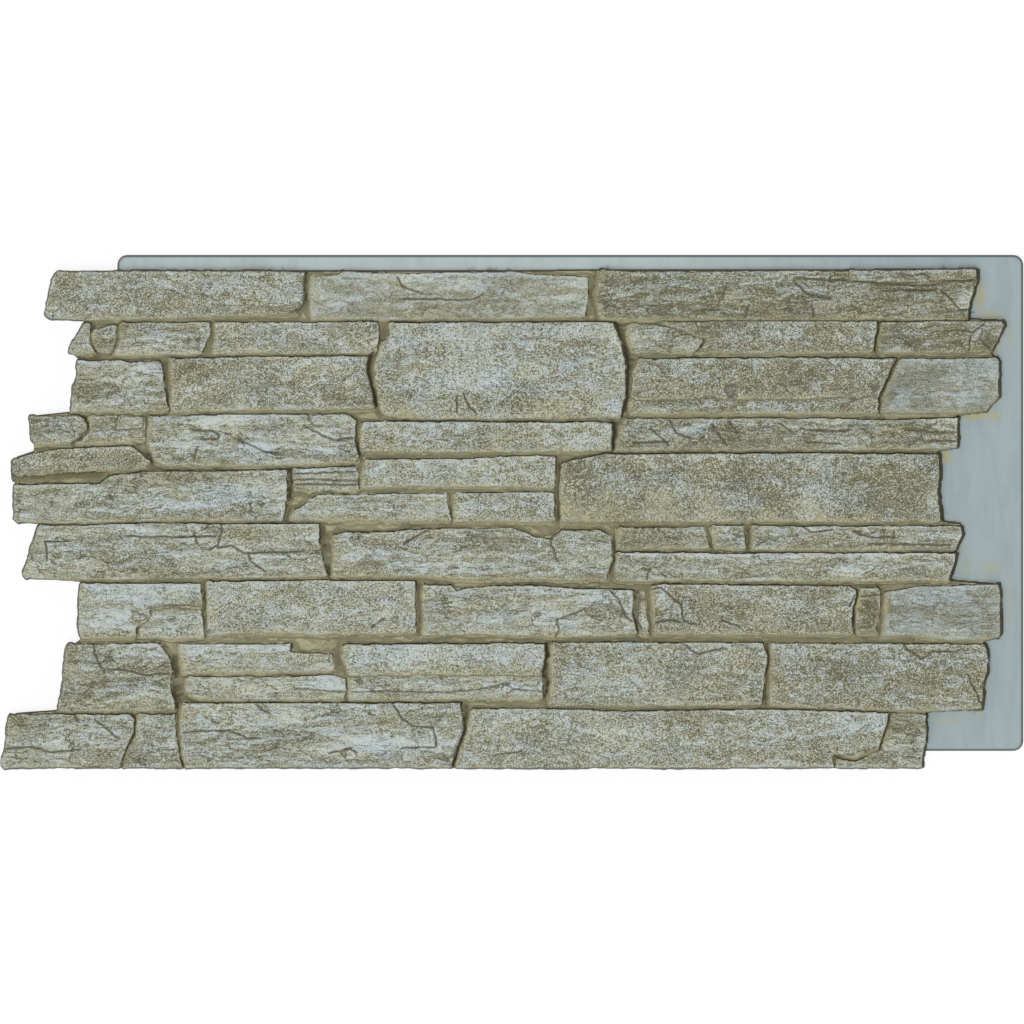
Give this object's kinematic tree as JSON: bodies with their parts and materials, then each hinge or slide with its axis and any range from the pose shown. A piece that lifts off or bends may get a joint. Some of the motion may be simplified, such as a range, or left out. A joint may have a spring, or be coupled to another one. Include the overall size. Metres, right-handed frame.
{
  "type": "faux stone wall panel",
  "caption": "One-piece moulded polyurethane wall panel in the pattern of stacked ledge stones, with a plain lap flange along its top and right edges.",
  "frame": {"origin": "middle of the panel's outline, on its flat back", "axes": "+X along the courses towards the flanged end, +Y towards the flanged top edge, +Z out of the stone face"},
  "size_m": [1.2445, 0.6275, 0.0318],
  "materials": {
    "painted_foam": "matte"
  },
  "bodies": {
    "root": {"stone_panel": "painted_foam"}
  },
  "joints": []
}
